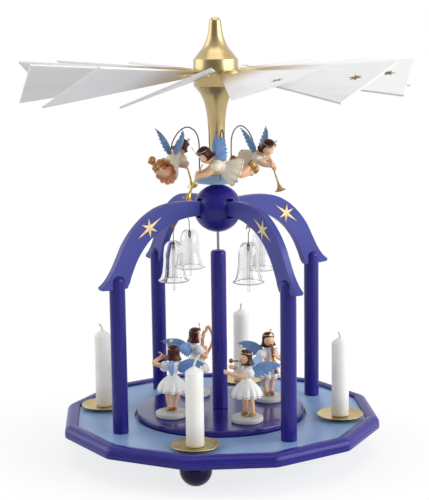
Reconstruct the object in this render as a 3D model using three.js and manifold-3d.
// Candle carousel. Four candles stand in a blue twelve sided tray. Their warm air turns a wheel of twelve
// pitched blades. Its spindle carries three flying angels on wires and a disc of four standing angels.
// Millimetres, +Z up, origin under the middle of the tray at the height of the surface that it stands on.
// The front is -Y. Seen from above the wheel turns clockwise, and the angels face the way they travel.

import * as THREE from "three";
import { mergeVertices } from "three/addons/utils/BufferGeometryUtils.js";
import Module from "manifold-3d";

const wasm = await Module();
wasm.setup();

const turn = 2 * Math.PI;
const degree = turn / 360;

// Fits
const seatGap = 0.3; // between faces that rest on or are glued to each other
const runGap = 0.4; // round a piece that turns, slides or hangs
const cutOverrun = 2; // how far a cutting shape runs past the face that it opens
const weldDistance = 0.0005; // vertices nearer than this are one vertex

// Tray
const traySides = 12;
const trayRadius = 149.4; // to the sharp corner that the rounded one lies inside
const trayCornerRound = 14;
const trayRise = 24.7; // underside of the rim above the table
const rimWidth = 12;
const rimHeight = 11.3;
const rimFaceHeight = 4.6; // flat lower part of the outer face
const rimEdgeRound = 0.8;
const rimRabbet = 3; // step under the lip that takes the floor board
const rimLip = 0.7; // edge of the lip over the floor board
const floorDrop = 3; // floor below the top of the rim
const floorThickness = 7.5;

// Ball feet, one under the front candle
const footCount = 3;
const footCircle = 112;
const footBallRadius = 14.3;
const footFlatRadius = 4;
const footTenonRadius = 4;
const footTenonLength = 3;

// Posts, arches and the ball that they hold
const armCount = 4;
const postCircle = 107.8;
const postRadius = 7.1;
const postDome = 5.5; // height of the rounded top
const postTenonRadius = 4;
const postTenonLength = 5;
const archThickness = 7;
const archSeatDepth = 13; // how deep the arch stands in the post
const archRise = 72.4; // from its foot to its highest point
const archToe = 17.7; // reach of the foot beyond the middle of the post
const ballRadius = 22;
const ballHeight = 194; // middle of the ball above the floor
const ballAbovePosts = 50; // middle of the ball above the tops of the posts
const ballSlotDepth = 8.3; // from the equator inwards
const ballSlotLow = 7.4; // slot below the middle of the ball
const ballSlotHigh = 10.4; // slot above the middle of the ball
const bushRadius = 3;
const bushLength = 12;
const bushFlange = 1.2;
const bushFlangeHeight = 0.8;

// Gold stars on both faces of each arch
const starPoints = 6;
const starLongReach = 15.8;
const starShortReach = 9.2;
const starNotchRadius = 3;
const starThickness = 0.8;
const starCircle = 75.4;

// Candles and drip pans
const candleCount = 4;
const candleCircle = 112.8;
const candleRadius = 8.5;
const candleLength = 68.2;
const candleLengthShares = [0.955, 1, 1, 1]; // front, right, rear, left
const candleTip = 5;
const wickRadius = 0.9;
const wickLength = 6.5;
const panRadius = 21.4;
const panWall = 0.9;
const panDish = 1.8; // rim of the pan above its bed
const panBedRadius = 15;
const panLift = 1.8; // bed of the pan above the floor
const panStemRadius = 2.2;
const panStemLength = 3;
const panCollarRadius = 5;
const pricketRadius = 1.5;
const pricketLength = 12;

// Bells
const bellCircle = 48.5;
const bellHeight = 36.5;
const bellMouthRadius = 14.2;
const bellBodyRadius = 9.3;
const bellWall = 1.2;
const eyeRadius = 1.7; // middle of the ring to the middle of its wire
const eyeWire = 0.5;
const eyeDrop = 2.4; // middle of the ring below the arch
const hookLength = 13.1; // from the ring's wire to the top of the bell
const hookWire = 0.4;
const hookRadius = 1.35;
const hookShoulder = 4; // the wire is straight from this far below the ring's wire
const beadRadius = 1.5;
const clapperRadius = 1.35;
const clapperReach = 8.8; // below the mouth of the bell
const linkRadius = 1.3;
const linkDrop = 5; // middle of the lower link below the top of the bell

// Spindle, disc and column
const spindleRadius = 1.25;
const spindlePoint = 3;
const spindleInHub = 76; // how far the spindle reaches into the hub
const cupRadius = 4;
const cupHeight = 3.7;
const cupSeatRadius = 2.2;
const cupSeatDepth = 2.2;
const turntableRadius = 78;
const turntableThickness = 6.5;
const turntableProud = 5; // top of the disc above the floor
const turntableEdge = 1.4;
const recessGap = 2; // round the disc
const recessAir = 1.5; // under the disc
const columnRadius = 7.1;
const columnClear = 17; // between the column and the ball
const columnDome = 3;
const columnTenonRadius = 4;
const columnTenonLength = 4;

// Carrier disc, hub and blades
const carrierRadius = 19.6;
const carrierLift = 0.9; // above the flange of the ball's bush
const carrierEdge = 2;
const carrierShoulder = 5.5; // height half way up its slope
const carrierHeight = 7;
const hubHeight = 142; // from the carrier disc to the tip
const hubCollarRadius = 20.3;
const hubCollarLow = 80.4; // bottom of the collar above the bottom of the hub
const hubCollarHeight = 24.6;
const hubCollarEdge = 0.8;
const hubNeckRadius = 7;
const bladeCount = 12;
const bladePhase = 2.2 * degree;
const bladePitch = 22 * degree;
const bladePitchShares = [0.93, 0.73, 0.45, 0.45, 0.41, 0.86, 1.14, 1.18, 1.14, 1, 0.68, 1]; // as set by hand
const bladeThickness = 2;
const bladeTipRadius = 178.5; // from the axis to both outer corners
const bladeUpperReach = 27; // corner above the rod
const bladeLowerReach = 54.5; // corner below the rod
const bladeRootRadius = 24;
const bladeRootUpper = 4;
const bladeRootLower = 6;
const rodRadius = 2.8;
const rodInner = 14;
const rodOuter = 52;

// Standing angels
const standingCount = 4;
const standingInset = 26; // middle of a figure inside the edge of the disc
const standingPhase = -51 * degree;
const standingHeight = 72;
const standingShiftShares = [0, 0, 0, 0.007]; // round the disc from an even spacing, in turns
const standingLeanShares = [0, 0, 0, 0.009]; // to the figure's right, in turns

// Flying angels
const flyingCount = 3;
const flyingCircle = 46;
const flyingPhase = -69 * degree;
const flyingRise = 21.8; // waist of the figure above the bottom of the carrier disc
const flyingLength = 45; // from crown to hem
const wireRadius = 0.65;
const wireCircle = 17.2;
const wireTop = 50; // highest point above the bottom of the carrier disc

// Heights that follow
const rimTop = trayRise + rimHeight;
const floorTop = rimTop - floorDrop;
const floorBottom = floorTop - floorThickness;
const turntableTop = floorTop + turntableProud;
const turntableBottom = turntableTop - turntableThickness;
const recessFloor = turntableBottom - recessAir;
const ballMiddle = floorTop + ballHeight;
const postTop = ballMiddle - ballAbovePosts;
const archFoot = postTop - archSeatDepth;
const ballTop = ballMiddle + ballRadius;
const carrierBottom = ballTop + bushFlangeHeight + carrierLift;
const hubBottom = carrierBottom + carrierHeight + seatGap;
const collarMiddle = hubBottom + hubCollarLow + hubCollarHeight / 2;
const candleBase = floorTop + panLift + panWall + seatGap;
const standingCircle = turntableRadius - standingInset;

// Geometry helpers

function solidOf(geometry) {
  const bare = geometry.index ? geometry.toNonIndexed() : geometry.clone();
  bare.deleteAttribute("normal");
  bare.deleteAttribute("uv");
  const merged = mergeVertices(bare, weldDistance);
  return new wasm.Manifold(
    new wasm.Mesh({
      numProp: 3,
      vertProperties: merged.attributes.position.array,
      triVerts: new Uint32Array(merged.index.array),
    }),
  );
}

function geometryOf(solid) {
  const mesh = solid.getMesh();
  const geometry = new THREE.BufferGeometry();
  geometry.setAttribute("position", new THREE.BufferAttribute(mesh.vertProperties, 3));
  geometry.setIndex(new THREE.BufferAttribute(mesh.triVerts, 1));
  geometry.computeVertexNormals();
  return geometry;
}

function joined(geometries) {
  return geometryOf(geometries.map(solidOf).reduce((whole, next) => whole.add(next)));
}

function cut(geometry, cutters) {
  return geometryOf(cutters.map(solidOf).reduce((rest, next) => rest.subtract(next), solidOf(geometry)));
}

// A profile of [radius, height] pairs, listed from the bottom up, turned about +Z.
function turned(profile, sides) {
  const points = profile.map(([radius, height]) => new THREE.Vector2(radius, height));
  return new THREE.LatheGeometry(points, sides).rotateX(turn / 4);
}

function disc(radius, bottom, top, sides) {
  return turned([[0, bottom], [radius, bottom], [radius, top], [0, top]], sides);
}

// A round cutter. Its flat sides touch the true radius, so a round piece of that radius fits at any turn.
function roundCutter(radius, bottom, top, sides) {
  return disc(radius / Math.cos(turn / sides / 2), bottom, top, sides);
}

// A round bar from one point to another, which tapers when it is given an end radius.
function bar(from, to, radius, sides, endRadius = radius) {
  const along = new THREE.Vector3().subVectors(to, from);
  const upright = new THREE.Vector3(0, 1, 0);
  const swing = new THREE.Quaternion().setFromUnitVectors(upright, along.clone().normalize());
  const middle = new THREE.Vector3().addVectors(from, to).divideScalar(2);
  return new THREE.CylinderGeometry(endRadius, radius, along.length(), sides)
    .applyQuaternion(swing)
    .translate(middle.x, middle.y, middle.z);
}

// Round wire along a smooth line through points.
function wire(points, radius, sides, steps) {
  const section = new THREE.Shape();
  section.absarc(0, 0, radius, 0, turn, false);
  const path = new THREE.CatmullRomCurve3(points);
  return new THREE.ExtrudeGeometry(section, { extrudePath: path, steps, curveSegments: sides / 2 });
}

function ring(radius, wireThick, around, sides) {
  return new THREE.TorusGeometry(radius, wireThick, sides, around);
}

function ball(radius, middle, around, high) {
  return new THREE.SphereGeometry(radius, around, high)
    .rotateX(turn / 4)
    .translate(middle.x, middle.y, middle.z);
}

// A flat outline with thickness, centred on its own plane.
function plate(shape, thickness, curveSegments) {
  return new THREE.ExtrudeGeometry(shape, { depth: thickness, bevelEnabled: false, curveSegments })
    .translate(0, 0, -thickness / 2);
}

// Stands a plate drawn in radius and height upright in the plane through the axis.
function upright(geometry) {
  return geometry.rotateX(turn / 4);
}

function at(radius, angle, height) {
  return new THREE.Vector3(radius * Math.cos(angle), radius * Math.sin(angle), height);
}

// Angles in equal steps round the axis, from the first.
function around(count, first) {
  return Array.from({ length: count }, (_, i) => first + (i / count) * turn);
}

// A closed outline with straight sides.
function outlineOf(points) {
  return new THREE.Shape(points.map(({ x, y }) => new THREE.Vector2(x, y)));
}

// The model

const carousel = new THREE.Group();

const finishes = {
  blue: { color: 0x3c3e9a, roughness: 0.35, metalness: 0 },
  floorBlue: { color: 0x86a8d2, roughness: 0.5, metalness: 0 },
  gold: { color: 0xc8b070, roughness: 0.4, metalness: 0.8 },
  brass: { color: 0xcdb780, roughness: 0.3, metalness: 1 },
  steel: { color: 0x8c8c90, roughness: 0.3, metalness: 1 },
  wax: { color: 0xf2efe6, roughness: 0.55, metalness: 0 },
  glass: { color: 0xe8f0f0, roughness: 0.05, metalness: 0 },
  white: { color: 0xf4f4f2, roughness: 0.5, metalness: 0 },
};

function add(name, geometry, finish, angle = 0) {
  const mesh = new THREE.Mesh(geometry, new THREE.MeshStandardMaterial(finishes[finish]));
  mesh.name = name;
  mesh.rotation.z = angle;
  carousel.add(mesh);
}

// Tray rim: one moulding, mitred round twelve softened corners

function rimProfile() {
  const crest = (rimWidth + rimEdgeRound) / 2;
  const steps = 2;
  const profile = [[rimWidth - rimRabbet, 0], [rimEdgeRound, 0], [0, rimEdgeRound]];
  for (let i = 0; i <= steps; i += 1) {
    const a = (i / steps) * (turn / 4);
    profile.push([crest * (1 - Math.cos(a)), rimFaceHeight + (rimHeight - rimFaceHeight) * Math.sin(a)]);
  }
  const lipTop = rimHeight - floorDrop + seatGap + rimLip;
  for (let i = 1; i <= steps; i += 1) {
    const a = (i / steps) * (turn / 4);
    profile.push([crest + (rimWidth - crest) * Math.sin(a), lipTop + (rimHeight - lipTop) * Math.cos(a)]);
  }
  const lipUnder = rimHeight - floorDrop + seatGap;
  profile.push([rimWidth, lipUnder], [rimWidth - rimRabbet, lipUnder]);
  return profile;
}

// The tray's outline at a distance inside its outer face, with two points at each softened corner.
function trayOutline(inset) {
  const halfSide = turn / traySides / 2;
  const cornerCircle = trayRadius - trayCornerRound / Math.cos(halfSide);
  const cornerRound = trayCornerRound - inset;
  return around(traySides, 0).flatMap((corner) => {
    const middle = at(cornerCircle, corner, 0);
    return [-halfSide, halfSide].map((lean) => at(cornerRound, corner + lean, 0).add(middle));
  });
}

function trayRim() {
  const levels = rimProfile().map(([inset, height]) => {
    return trayOutline(inset).map((point) => point.setZ(trayRise + height));
  });
  const positions = [];
  levels.forEach((lower, j) => {
    const upper = levels[(j + 1) % levels.length];
    lower.forEach((point, i) => {
      const next = (i + 1) % lower.length;
      for (const corner of [point, lower[next], upper[next], point, upper[next], upper[i]]) {
        positions.push(corner.x, corner.y, corner.z);
      }
    });
  });
  const geometry = new THREE.BufferGeometry();
  geometry.setAttribute("position", new THREE.Float32BufferAttribute(positions, 3));
  return geometry;
}

add("base_rim", trayRim(), "blue");

// Floor board, with a round recess for the turning disc and a socket for each piece that stands in it

const candleAngles = around(candleCount, -turn / 4);
const armAngles = around(armCount, (-turn * 3) / 8);
const footAngles = around(footCount, -turn / 4);

function socket(circle, angle, radius, depth, face, fromBelow = false) {
  const inner = fromBelow ? face + depth : face - depth;
  const outer = fromBelow ? face - cutOverrun : face + cutOverrun;
  const hole = roundCutter(radius + seatGap, Math.min(inner, outer), Math.max(inner, outer), 6);
  const middle = at(circle, angle, 0);
  return hole.translate(middle.x, middle.y, 0);
}

function floorBoard() {
  const outline = outlineOf(trayOutline(rimWidth - rimRabbet + seatGap));
  const board = new THREE.ExtrudeGeometry(outline, { depth: floorThickness, bevelEnabled: false });
  board.translate(0, 0, floorBottom);
  return cut(board, [
    roundCutter(turntableRadius + recessGap, recessFloor, floorTop + cutOverrun, 28),
    roundCutter(cupRadius + seatGap, recessFloor - cupHeight, recessFloor + cutOverrun, 12),
    ...armAngles.map((a) => socket(postCircle, a, postTenonRadius, postTenonLength, floorTop)),
    ...candleAngles.map((a) => socket(candleCircle, a, panStemRadius, panStemLength + seatGap, floorTop)),
    ...footAngles.map((a) => {
      return socket(footCircle, a, footTenonRadius, footTenonLength + seatGap, floorBottom, true);
    }),
  ]);
}

add("base_floor", floorBoard(), "floorBlue");

function pivotCup() {
  const bottom = recessFloor - cupHeight + seatGap;
  const top = recessFloor;
  return turned(
    [
      [0, bottom],
      [cupRadius, bottom],
      [cupRadius, top],
      [cupSeatRadius, top],
      [0, top - cupSeatDepth],
    ],
    12,
  );
}

add("pivot_cup", pivotCup(), "steel");

// Ball feet

function foot() {
  const middle = Math.sqrt(footBallRadius ** 2 - footFlatRadius ** 2);
  const seat = floorBottom - seatGap;
  const low = -Math.asin(middle / footBallRadius);
  const high = Math.asin((seat - middle) / footBallRadius);
  const steps = 3;
  const profile = [[0, 0]];
  for (let i = 0; i <= steps; i += 1) {
    const a = low + ((high - low) * i) / steps;
    profile.push([footBallRadius * Math.cos(a), middle + footBallRadius * Math.sin(a)]);
  }
  profile.push([footTenonRadius, seat], [footTenonRadius, floorBottom + footTenonLength]);
  profile.push([0, floorBottom + footTenonLength]);
  return turned(profile, 12);
}

["front", "right", "left"].forEach((side, i) => {
  const middle = at(footCircle, footAngles[i], 0);
  add(`foot_${side}`, foot().translate(middle.x, middle.y, 0), "blue");
});

// Posts: turned dowels with a domed top, slotted for the arch

function post() {
  const shoulder = postTop - postDome;
  const profile = [
    [0, floorTop - postTenonLength + seatGap],
    [postTenonRadius, floorTop - postTenonLength + seatGap],
    [postTenonRadius, floorTop + seatGap],
    [postRadius, floorTop + seatGap],
  ];
  const steps = 3;
  for (let i = 0; i <= steps; i += 1) {
    const a = (i / steps) * (turn / 4);
    profile.push([i === steps ? 0 : postRadius * Math.cos(a), shoulder + postDome * Math.sin(a)]);
  }
  const slotWidth = archThickness + 2 * seatGap;
  const slotHeight = archSeatDepth + seatGap + cutOverrun;
  const slot = new THREE.BoxGeometry(2 * (postRadius + cutOverrun), slotWidth, slotHeight);
  slot.translate(0, 0, archFoot - seatGap + slotHeight / 2);
  return cut(turned(profile, 12), [slot]);
}

// Arches: flat boards sawn to a swan's neck, with the stars and the screw eye of the bell fixed on

const archInner = ballRadius - ballSlotDepth + seatGap;
const archSpan = postCircle + archToe - archInner;

// Points of the upper and lower edge, as shares of the arch's span and rise, from the ball outwards.
const archUpperShares = [
  [0, 0.977], [0.24, 1], [0.43, 0.967], [0.574, 0.864], [0.69, 0.713], [0.776, 0.546], [0.834, 0.38],
  [0.888, 0.228], [0.946, 0.11], [1, 0.042],
];
const archToeShare = [0.99, 0.008];
const archFootShares = [[0.92, 0], [0.763, 0]];
const archLowerShares = [
  [0.738, 0.07], [0.717, 0.159], [0.668, 0.318], [0.61, 0.449], [0.539, 0.566], [0.449, 0.663],
  [0.342, 0.739], [0.199, 0.791], [0, 0.805],
];

function archPoint([along, up]) {
  return new THREE.Vector2(archInner + along * archSpan, archFoot + up * archRise);
}

function archOutline() {
  const outline = new THREE.Shape();
  const upper = archUpperShares.map(archPoint);
  outline.moveTo(upper[0].x, upper[0].y);
  outline.splineThru(upper.slice(1));
  for (const corner of [archToeShare, ...archFootShares, archLowerShares[0]].map(archPoint)) {
    outline.lineTo(corner.x, corner.y);
  }
  outline.splineThru(archLowerShares.slice(1).map(archPoint));
  return outline;
}

// Height of an edge of the arch at one distance from the axis.
function archEdge(shares, radius) {
  const points = new THREE.SplineCurve(shares.map(archPoint)).getPoints(200);
  return points.reduce((best, p) => (Math.abs(p.x - radius) < Math.abs(best.x - radius) ? p : best)).y;
}

const eyeHeight = archEdge(archLowerShares, bellCircle) - eyeDrop;

function screwEye() {
  const middle = new THREE.Vector3(bellCircle, 0, eyeHeight);
  const loop = upright(ring(eyeRadius, eyeWire, 7, 3)).translate(middle.x, middle.y, middle.z);
  const top = at(bellCircle, 0, eyeHeight + 2 * eyeDrop);
  const bottom = at(bellCircle, 0, eyeHeight + eyeRadius);
  return [loop, bar(bottom, top, eyeWire, 4)];
}

// A star with two long points, along the slope of the arch.
function star() {
  const corners = around(2 * starPoints, 0).map((angle, i) => {
    const reach = i % starPoints === 0 ? starLongReach : starShortReach;
    return at(i % 2 === 0 ? reach : starNotchRadius, angle, 0);
  });
  const above = archEdge(archUpperShares, starCircle);
  const below = archEdge(archLowerShares, starCircle);
  const further = archEdge(archUpperShares, starCircle + starShortReach);
  const slope = Math.atan2(further - above, starShortReach);
  return plate(outlineOf(corners), archThickness + 2 * starThickness, 1)
    .rotateZ(slope)
    .translate(starCircle, (above + below) / 2, 0);
}

function arch() {
  const board = plate(archOutline(), archThickness, 2);
  return joined([upright(board), upright(star()), ...screwEye()]);
}

// The ball, slotted for the four arches and bored for the bush

function topBall() {
  const slotWidth = archThickness + 2 * seatGap;
  const slotReach = ballSlotDepth + cutOverrun;
  const slots = armAngles.map((a) => {
    const slot = new THREE.BoxGeometry(slotReach, slotWidth, ballSlotLow + ballSlotHigh);
    slot.translate(ballRadius + cutOverrun - slotReach / 2, 0, ballMiddle + (ballSlotHigh - ballSlotLow) / 2);
    return slot.rotateZ(a);
  });
  const whole = ball(ballRadius, at(0, 0, ballMiddle), 18, 10);
  const bushBore = roundCutter(bushRadius + seatGap, ballTop - bushLength, ballTop + cutOverrun, 8);
  const through = roundCutter(spindleRadius + 2 * runGap, ballMiddle - ballRadius - cutOverrun, ballTop, 8);
  return cut(whole, [...slots, bushBore, through]);
}

function ballBush() {
  const bore = spindleRadius + runGap;
  const bottom = ballTop - bushLength + seatGap;
  const top = ballTop + bushFlangeHeight;
  return turned(
    [
      [bore, bottom],
      [bushRadius, bottom],
      [bushRadius, ballTop + seatGap],
      [bushRadius + bushFlange, ballTop + seatGap],
      [bushRadius + bushFlange, top],
      [bore, top],
      [bore, bottom],
    ],
    8,
  );
}

add("top_ball", topBall(), "blue");
add("ball_bush", ballBush(), "brass");

// Bell, hook and clapper, which hang at an arm. The hook's arc is centred on the wire of the screw eye.

const hangHeight = eyeHeight - eyeRadius;
const bellTop = hangHeight - hookLength;
const bellMouth = bellTop - bellHeight;

// Outside of the bell: shares of the body's radius and of the height, from the mouth up.
const bellFlareShares = [[1, 0], [0.9, 0.05], [0.79, 0.14], [0.71, 0.28]];
const bellBodyShares = [[1, 0.5], [0.97, 0.72], [0.84, 0.89], [0.52, 0.98]];

function bell() {
  const bore = hookWire + runGap;
  const outside = [
    ...bellFlareShares.map(([r, h]) => [r * bellMouthRadius, bellMouth + h * bellHeight]),
    ...bellBodyShares.map(([r, h]) => [r * bellBodyRadius, bellMouth + h * bellHeight]),
    [bore, bellTop],
  ];
  const rows = bellFlareShares.length + bellBodyShares.length;
  const inside = outside
    .filter((_, i) => i % 2 === 0 && i < rows)
    .map(([r, h]) => [r - bellWall, h === bellMouth ? h : h - bellWall / 2]);
  inside.push([bore, bellTop - bellWall]);
  return turned([...inside.slice(0, 1), ...outside, ...inside.reverse()], 9).translate(bellCircle, 0, 0);
}

// The hook's bend starts below the level of the ring's wire and goes over its top, in shares of a full turn.
const hookBendShare = { fromShare: -0.1, throughShare: 0.6 };

function hook() {
  const bend = [];
  const steps = 6;
  for (let i = 0; i <= steps; i += 1) {
    const a = (hookBendShare.fromShare + (i / steps) * hookBendShare.throughShare) * turn;
    const height = hangHeight + hookRadius * Math.sin(a);
    bend.push(new THREE.Vector3(bellCircle, -hookRadius * Math.cos(a), height));
  }
  const stemTop = at(bellCircle, 0, hangHeight - hookShoulder);
  const stemBottom = at(bellCircle, 0, bellTop - linkDrop + linkRadius);
  const link = ring(linkRadius, hookWire, 6, 3)
    .rotateX(turn / 4)
    .rotateZ(turn / 4)
    .translate(bellCircle, 0, bellTop - linkDrop);
  const bead = ball(beadRadius, at(bellCircle, 0, bellTop - bellWall - seatGap - beadRadius), 5, 3);
  return joined([wire([...bend, stemTop, stemBottom], hookWire, 4, 9), link, bead]);
}

function clapper() {
  const pivot = bellTop - linkDrop - linkRadius;
  const eyeMiddle = pivot + 2 * hookWire + seatGap - linkRadius;
  const eye = upright(ring(linkRadius, hookWire, 6, 3)).translate(bellCircle, 0, eyeMiddle);
  const stemTop = eyeMiddle - linkRadius;
  const bottom = bellMouth - clapperReach;
  const stem = turned(
    [
      [0, bottom],
      [clapperRadius / 2, bottom],
      [clapperRadius, bottom + clapperRadius / 2],
      [clapperRadius, stemTop - clapperRadius],
      [clapperRadius / 2, stemTop],
      [0, stemTop],
    ],
    6,
  ).translate(bellCircle, 0, 0);
  return joined([eye, stem]);
}

["front_left", "front_right", "rear_right", "rear_left"].forEach((corner, i) => {
  const angle = armAngles[i];
  add(`post_${corner}`, post().translate(postCircle, 0, 0), "blue", angle);
  add(`arch_${corner}`, arch(), "blue", angle);
  add(`bell_${corner}`, bell(), "glass", angle);
  add(`bell_hook_${corner}`, hook(), "steel", angle);
  add(`clapper_${corner}`, clapper(), "glass", angle);
});

// Candles on brass drip pans

function dripPan() {
  const bed = floorTop + panLift;
  const rimHigh = bed + panDish;
  return turned(
    [
      [0, floorTop - panStemLength],
      [panStemRadius, floorTop - panStemLength],
      [panStemRadius, floorTop + seatGap],
      [panCollarRadius, floorTop + seatGap],
      [panCollarRadius, bed],
      [panBedRadius, bed],
      [panRadius, rimHigh],
      [panRadius, rimHigh + panWall],
      [panBedRadius, bed + panWall],
      [pricketRadius, bed + panWall],
      [0, bed + panWall + pricketLength],
    ],
    10,
  );
}

// Middle of the candle's rounded tip.
const candleTipShare = { radiusShare: 0.8, heightShare: 0.45 };

function candle(length) {
  const shoulder = candleBase + length;
  const peak = shoulder + candleTip;
  const socketTop = candleBase + pricketLength + runGap;
  return turned(
    [
      [0, socketTop],
      [pricketRadius + runGap, socketTop - runGap],
      [pricketRadius + runGap, candleBase],
      [candleRadius, candleBase],
      [candleRadius, shoulder],
      [candleRadius * candleTipShare.radiusShare, shoulder + candleTip * candleTipShare.heightShare],
      [wickRadius, peak],
      [wickRadius, peak + wickLength],
      [0, peak + wickLength],
    ],
    12,
  );
}

["front", "right", "rear", "left"].forEach((side, i) => {
  const middle = at(candleCircle, candleAngles[i], 0);
  add(`drip_pan_${side}`, dripPan().translate(middle.x, middle.y, 0), "brass");
  const length = candleLength * candleLengthShares[i];
  add(`candle_${side}`, candle(length).translate(middle.x, middle.y, 0), "wax");
});

// Spindle, turning disc and column

const spindleBottom = recessFloor - cupSeatDepth + seatGap;
const spindleTop = hubBottom + spindleInHub;

function spindle() {
  return turned(
    [
      [0, spindleBottom],
      [spindleRadius, spindleBottom + spindlePoint],
      [spindleRadius, spindleTop],
      [0, spindleTop],
    ],
    10,
  );
}

function turntable() {
  const bore = columnTenonRadius + seatGap;
  return turned(
    [
      [bore, turntableBottom],
      [turntableRadius - turntableEdge, turntableBottom],
      [turntableRadius, turntableBottom + turntableEdge],
      [turntableRadius, turntableTop - turntableEdge],
      [turntableRadius - turntableEdge, turntableTop],
      [bore, turntableTop],
      [bore, turntableBottom],
    ],
    28,
  );
}

// How far the middle of the column's rounded top is from both edges.
const columnDomeShare = 0.3;

function column() {
  const bore = spindleRadius + seatGap;
  const top = ballMiddle - ballRadius - columnClear;
  return turned(
    [
      [bore, turntableTop - columnTenonLength],
      [columnTenonRadius, turntableTop - columnTenonLength],
      [columnTenonRadius, turntableTop + seatGap],
      [columnRadius, turntableTop + seatGap],
      [columnRadius, top - columnDome],
      [columnRadius - columnDome * columnDomeShare, top - columnDome * columnDomeShare],
      [columnRadius - columnDome, top],
      [bore, top],
      [bore, turntableTop - columnTenonLength],
    ],
    12,
  );
}

add("spindle", spindle(), "steel");
add("turntable", turntable(), "blue");
add("column_sleeve", column(), "blue");

// Carrier disc with a socket for each wire, and the hub with a socket for each blade

// The wire stands in the carrier disc, bends over and ends in the waist: shares of its reach and rise.
const wirePathShares = [
  [0, 0.07], [0, 0.4], [0.01, 0.74], [0.13, 0.92], [0.39, 1], [0.67, 0.92], [0.9, 0.73], [1, 0.48],
];

const flyingAngles = around(flyingCount, flyingPhase);

function carrier() {
  const bore = spindleRadius + seatGap;
  const whole = turned(
    [
      [bore, carrierBottom],
      [carrierRadius, carrierBottom],
      [carrierRadius, carrierBottom + carrierEdge],
      [(carrierRadius + hubNeckRadius) / 2, carrierBottom + carrierShoulder],
      [hubNeckRadius, carrierBottom + carrierHeight],
      [bore, carrierBottom + carrierHeight],
      [bore, carrierBottom],
    ],
    16,
  );
  const socketFloor = carrierBottom + wirePathShares[0][1] * wireTop - seatGap;
  return cut(
    whole,
    flyingAngles.map((a) => {
      const hole = roundCutter(wireRadius + seatGap, socketFloor, carrierBottom + 2 * carrierHeight, 8);
      const middle = at(wireCircle, a, 0);
      return hole.translate(middle.x, middle.y, 0);
    }),
  );
}

// Radii as shares of the collar's, with heights as shares of the hub's part below and above the collar.
const hubLowerShares = [[0.345, 0], [0.36, 0.36], [0.4, 0.6], [0.49, 0.77], [0.66, 0.89], [0.88, 0.97]];
const hubUpperShares = [[0.78, 0.13], [0.55, 0.29], [0.37, 0.52], [0.29, 0.75], [0.26, 0.91], [0.16, 0.98]];

function hub() {
  const collarLow = hubBottom + hubCollarLow;
  const collarHigh = collarLow + hubCollarHeight;
  const tip = hubBottom + hubHeight;
  const bore = spindleRadius + seatGap;
  const whole = turned(
    [
      [0, spindleTop + seatGap],
      [bore, spindleTop + seatGap],
      [bore, hubBottom],
      ...hubLowerShares.map(([r, h]) => [r * hubCollarRadius, hubBottom + h * hubCollarLow]),
      [hubCollarRadius, collarLow + hubCollarEdge],
      [hubCollarRadius, collarHigh - hubCollarEdge],
      [hubCollarRadius - hubCollarEdge, collarHigh],
      ...hubUpperShares.map(([r, h]) => [r * hubCollarRadius, collarHigh + h * (tip - collarHigh)]),
      [0, tip],
    ],
    16,
  );
  const sides = 6;
  const holeRadius = (rodRadius + seatGap) / Math.cos(turn / sides / 2);
  const holes = around(bladeCount, bladePhase).map((a) => {
    const from = at(rodInner - seatGap, a, collarMiddle);
    const to = at(hubCollarRadius + cutOverrun, a, collarMiddle);
    return bar(from, to, holeRadius, sides);
  });
  return cut(whole, holes);
}

add("carrier_disc", carrier(), "floorBlue");
add("blade_hub", hub(), "gold");

// Blades: a thin board in a slotted brass rod that turns in the hub, so the pitch can be set

function blade(pitch) {
  const upperTip = Math.sqrt(bladeTipRadius ** 2 - bladeUpperReach ** 2);
  const lowerTip = Math.sqrt(bladeTipRadius ** 2 - bladeLowerReach ** 2);
  const corners = [
    [bladeRootRadius, bladeRootUpper],
    [bladeRootRadius, -bladeRootLower],
    [lowerTip, -bladeLowerReach],
    [upperTip, bladeUpperReach],
  ];
  const outline = outlineOf(corners.map(([x, y]) => new THREE.Vector2(x, y)));
  const board = plate(outline, bladeThickness, 1);
  const rod = bar(at(rodInner, 0, 0), at(rodOuter, 0, 0), rodRadius, 6);
  return joined([board, rod]).rotateX(pitch).translate(0, 0, collarMiddle);
}

around(bladeCount, bladePhase).forEach((angle, i) => {
  const pitched = blade(bladePitch * bladePitchShares[i]);
  add(`blade_${String(i + 1).padStart(2, "0")}`, pitched, "white", angle);
});

// Angels. Each is carved and turned in one colour of wood and painted: dress, hair, wings and instrument are
// glued together, so each figure is one solid. A figure is drawn facing +X, with its left hand toward +Y.

// A lump of the figure, round or stretched along one axis.
function lump(radius, middle, around, high, stretch = [1, 1, 1]) {
  return new THREE.SphereGeometry(radius, around, high)
    .rotateX(turn / 4)
    .scale(...stretch)
    .translate(middle.x, middle.y, middle.z);
}

// Outline of a wing, as shares of its length: a smooth leading edge, and feathers in steps along the other.
const wingShares = [
  [0, -0.1], [0, 0.08], [0.35, 0.18], [1, -0.02], [0.78, -0.06], [0.8, -0.14], [0.5, -0.15], [0.52, -0.24],
  [0.16, -0.24],
];

// A wing from its root along one direction, with the smooth edge leading toward another.
function wing(length, thickness, root, along, leading) {
  const corners = wingShares.map(([out, across]) => new THREE.Vector2(out, across).multiplyScalar(length));
  const x = along.clone().normalize();
  const normal = new THREE.Vector3().crossVectors(x, leading).normalize();
  const y = new THREE.Vector3().crossVectors(normal, x);
  return plate(outlineOf(corners), thickness, 1)
    .applyMatrix4(new THREE.Matrix4().makeBasis(x, y, normal))
    .translate(root.x, root.y, root.z);
}

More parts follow.
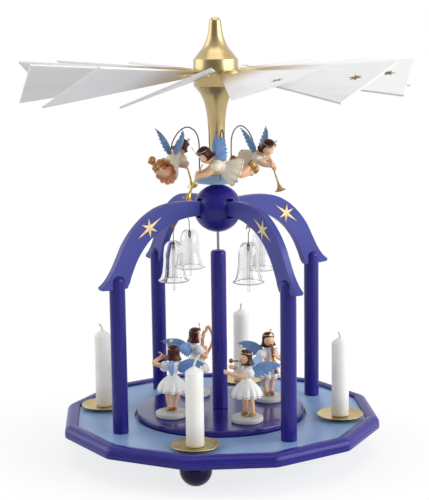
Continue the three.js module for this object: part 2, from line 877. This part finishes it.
// Shares of the standing figure's height, as [forward, left, up] for places and [radius, up] for profiles.
const footDiscShares = [[0, 0.004], [0.203, 0.004], [0.198, 0.063], [0, 0.063]];
const dressShares = [
  [0, 0.47], [0.178, 0.34], [0.193, 0.336], [0.185, 0.375], [0.15, 0.45], [0.06, 0.54], [0.078, 0.65],
  [0.03, 0.74], [0, 0.74],
];
const hairShares = [[0, 0.735], [0.104, 0.735], [0.09, 0.86], [0.06, 0.92], [0, 0.935]];
const headShare = { radiusShare: 0.088, upShare: 0.808, forwardShare: 0.012 };
const faceShare = { fromShare: 0.02, lowShare: 0.7, highShare: 0.865 };
const crownShare = { radiusShare: 0.02, pointShare: 0.005, lowShare: 0.89, highShare: 0.995 };
const crownForwardShare = 0.05;
const legShare = { radiusShare: 0.034, asideShare: 0.047, topShare: 0.48 };
const shoeShare = { radiusShare: 0.034, heelShare: 0.025, toeShare: 0.07, upShare: 0.085 };
const sleeveShare = { radiusShare: 0.061, asideShare: 0.105, upShare: 0.645 };
const armShare = { radiusShare: 0.023 };
const wingShare = { lengthShare: 0.4, thicknessShare: 0.02 };
const wingRootShare = { backShare: 0.05, asideShare: 0.03, upShare: 0.63 };
const wingDirectionShare = { asideShare: 0.75, upShare: 0.25 };

function standingPlace([forward, left, up]) {
  return new THREE.Vector3(forward, left, up).multiplyScalar(standingHeight);
}

function standingBody({ leftHand, rightHand }) {
  const h = standingHeight;
  const scaled = (shares) => shares.map(([radius, up]) => [radius * h, up * h]);
  const place = (...shares) => standingPlace(shares);
  const face = new THREE.BoxGeometry(h, h, (faceShare.highShare - faceShare.lowShare) * h);
  face.translate(faceShare.fromShare * h + h / 2, 0, ((faceShare.highShare + faceShare.lowShare) / 2) * h);
  const pieces = [
    turned(scaled(footDiscShares), 10),
    turned(scaled(dressShares), 9),
    cut(turned(scaled(hairShares), 8), [face]),
    lump(headShare.radiusShare * h, place(headShare.forwardShare, 0, headShare.upShare), 6, 4),
    bar(
      place(crownForwardShare, 0, crownShare.lowShare),
      place(crownForwardShare, 0, crownShare.highShare),
      crownShare.radiusShare * h,
      4,
      crownShare.pointShare * h,
    ),
  ];
  for (const side of [-1, 1]) {
    const aside = side * legShare.asideShare;
    const shoulder = place(0, side * sleeveShare.asideShare, sleeveShare.upShare);
    const hand = place(...(side === 1 ? leftHand : rightHand));
    const root = place(-wingRootShare.backShare, side * wingRootShare.asideShare, wingRootShare.upShare);
    pieces.push(
      bar(
        place(0, aside, shoeShare.upShare),
        place(0, aside, legShare.topShare),
        legShare.radiusShare * h,
        4,
      ),
      bar(
        place(-shoeShare.heelShare, aside, shoeShare.upShare),
        place(shoeShare.toeShare, aside, shoeShare.upShare),
        shoeShare.radiusShare * h,
        4,
      ),
      lump(sleeveShare.radiusShare * h, shoulder, 5, 3),
      bar(shoulder, hand, armShare.radiusShare * h, 4),
      wing(
        wingShare.lengthShare * h,
        wingShare.thicknessShare * h,
        root,
        new THREE.Vector3(-1, side * wingDirectionShare.asideShare, wingDirectionShare.upShare),
        new THREE.Vector3(0, 0, 1),
      ),
    );
  }
  return pieces;
}

// The players in their order round the disc, in shares of the figure's height: where the hands are, and the
// instrument, which is made of bars, a round body or a flat frame.
const playerShares = {
  flute: {
    leftHand: [0.31, 0.02, 0.675],
    rightHand: [0.215, -0.055, 0.772],
    bars: [{ from: [0.07, 0, 0.775], to: [0.23, -0.064, 0.772], radiusShare: 0.012, endShare: 0.012 }],
    bodies: [],
    frames: [],
  },
  clarinet: {
    leftHand: [0.15, 0.01, 0.6],
    rightHand: [0.18, -0.01, 0.52],
    bars: [
      { from: [0.085, 0, 0.77], to: [0.205, 0, 0.43], radiusShare: 0.019, endShare: 0.019 },
      { from: [0.2, 0, 0.45], to: [0.222, 0, 0.38], radiusShare: 0.02, endShare: 0.034 },
    ],
    bodies: [],
    frames: [],
  },
  harp: {
    leftHand: [0.17, 0.02, 0.62],
    rightHand: [0.17, -0.02, 0.56],
    bars: [],
    bodies: [],
    frames: [
      { foot: [0.1, 0.43], front: [0.24, 0.5], head: [0.2, 0.93], back: [0.14, 0.8], thicknessShare: 0.03 },
    ],
  },
  violin: {
    leftHand: [0.26, 0.06, 0.76],
    rightHand: [0.22, -0.08, 0.72],
    bars: [
      { from: [0.18, 0.05, 0.74], to: [0.3, 0.06, 0.765], radiusShare: 0.011, endShare: 0.011 },
      { from: [0.22, -0.11, 0.718], to: [0.2, 0.2, 0.775], radiusShare: 0.009, endShare: 0.009 },
    ],
    bodies: [{ radiusShare: 0.045, middle: [0.15, 0.045, 0.735], stretch: [1.7, 1, 0.4] }],
    frames: [],
  },
};

function instrument({ bars, bodies, frames }) {
  const h = standingHeight;
  return [
    ...bars.map(({ from, to, radiusShare, endShare }) => {
      return bar(standingPlace(from), standingPlace(to), radiusShare * h, 4, endShare * h);
    }),
    ...bodies.map(({ radiusShare, middle, stretch }) => {
      return lump(radiusShare * h, standingPlace(middle), 6, 3, stretch);
    }),
    ...frames.map(({ foot, front, head, back, thicknessShare }) => {
      const corners = [foot, front, head, back].map(([forward, up]) => [forward * h, up * h]);
      const outline = new THREE.Shape();
      outline.moveTo(...corners[0]);
      outline.quadraticCurveTo(...corners[1], ...corners[2]);
      outline.quadraticCurveTo(...corners[3], ...corners[0]);
      return upright(plate(outline, thicknessShare * h, 3));
    }),
  ];
}

Object.entries(playerShares).forEach(([name, shares], i) => {
  const [footDisc, ...pieces] = [...standingBody(shares), ...instrument(shares)];
  pieces.forEach((piece) => piece.rotateX(standingLeanShares[i] * turn));
  const figure = joined([footDisc, ...pieces]);
  const angle = around(standingCount, standingPhase)[i] + standingShiftShares[i] * turn;
  const middle = at(standingCircle, angle, turntableTop);
  figure.rotateZ(angle - turn / 4).translate(middle.x, middle.y, middle.z);
  add(`angel_${name}`, figure, "white");
});

// Flying angels: the body lies along the way it travels, with the skirt behind it and a trumpet before it.
// The waist is the origin and places are shares of the figure's length.

const flyingSkirtShares = [
  [0, -0.14], [0.262, -0.37], [0.282, -0.37], [0.2, -0.18], [0.11, 0], [0, 0.02],
];
const flyingSkirtLean = 60 * degree;
const flyingTwistShares = [0, 0, -0.04]; // how far each figure is twisted on its wire, in turns
const flyingShares = {
  torso: { radiusShare: 0.1, shoulderShare: 0.135, from: [0, 0], to: [0.3, 0.03] },
  head: { radiusShare: 0.142, place: [0.42, 0, 0.13] },
  hair: { radiusShare: 0.162, place: [0.37, 0, 0.165] },
  crown: { radiusShare: 0.04, pointShare: 0.01, from: [0.49, 0, 0.235], to: [0.6, 0, 0.3] },
  leg: { radiusShare: 0.05, asideShare: 0.085, from: [-0.1, -0.1], to: [-0.55, -0.1] },
  shoe: { radiusShare: 0.062, toe: [-0.66, -0.05] },
  shoulder: { radiusShare: 0.085, place: [0.25, 0.13, 0] },
  arm: { radiusShare: 0.036, leftHand: [0.59, 0.02, -0.2], rightHand: [0.55, -0.02, -0.11] },
  trumpet: { tubeShare: 0.02, bellShare: 0.118, mouth: [0.53, 0, 0.02], flare: [0.745, 0, -0.51] },
  trumpetEnd: [0.82, 0, -0.69],
  wing: { lengthShare: 0.6, thicknessShare: 0.032, place: [0.12, 0.05, 0.06], spreadShare: 0.4 },
};

function flyingAngel() {
  const l = flyingLength;
  const s = flyingShares;
  const place = ([forward, left, up]) => new THREE.Vector3(forward * l, left * l, up * l);
  const skirtProfile = flyingSkirtShares.map(([radius, up]) => [radius * l, up * l]);
  const [torsoFrom, torsoTo] = [s.torso.from, s.torso.to].map(([forward, up]) => place([forward, 0, up]));
  const pieces = [
    turned(skirtProfile, 9).rotateY(flyingSkirtLean),
    bar(torsoFrom, torsoTo, s.torso.radiusShare * l, 6, s.torso.shoulderShare * l),
    lump(s.hair.radiusShare * l, place(s.hair.place), 7, 4),
    lump(s.head.radiusShare * l, place(s.head.place), 6, 4),
    bar(place(s.crown.from), place(s.crown.to), s.crown.radiusShare * l, 4, s.crown.pointShare * l),
    bar(place(s.trumpet.mouth), place(s.trumpet.flare), s.trumpet.tubeShare * l, 4),
    bar(place(s.trumpet.flare), place(s.trumpetEnd), s.trumpet.tubeShare * l, 6, s.trumpet.bellShare * l),
  ];
  for (const side of [-1, 1]) {
    const shoulder = place([s.shoulder.place[0], side * s.shoulder.place[1], s.shoulder.place[2]]);
    const hand = place(side === 1 ? s.arm.leftHand : s.arm.rightHand);
    const [legFrom, legTo, toe] = [s.leg.from, s.leg.to, s.shoe.toe].map(([forward, up]) => {
      return place([forward, side * s.leg.asideShare, up]);
    });
    const root = place([s.wing.place[0], side * s.wing.place[1], s.wing.place[2]]);
    pieces.push(
      bar(legFrom, legTo, s.leg.radiusShare * l, 4),
      bar(legTo, toe, s.shoe.radiusShare * l, 4),
      lump(s.shoulder.radiusShare * l, shoulder, 5, 3),
      bar(shoulder, hand, s.arm.radiusShare * l, 4),
      wing(
        s.wing.lengthShare * l,
        s.wing.thicknessShare * l,
        root,
        new THREE.Vector3(0, side * s.wing.spreadShare, 1),
        new THREE.Vector3(1, 0, 0),
      ),
    );
  }
  return pieces;
}

function carryingWire() {
  const points = wirePathShares.map(([out, up]) => {
    return at(wireCircle + out * (flyingCircle - wireCircle), 0, carrierBottom + up * wireTop);
  });
  return wire(points, wireRadius, 4, 10);
}

flyingAngles.forEach((angle, i) => {
  const twist = flyingTwistShares[i] * turn;
  const figure = flyingAngel().map((piece) => {
    return piece.rotateZ(twist - turn / 4).translate(flyingCircle, 0, carrierBottom + flyingRise);
  });
  add(`flying_angel_${i + 1}`, joined([...figure, carryingWire()]), "white", angle);
});

export default carousel;
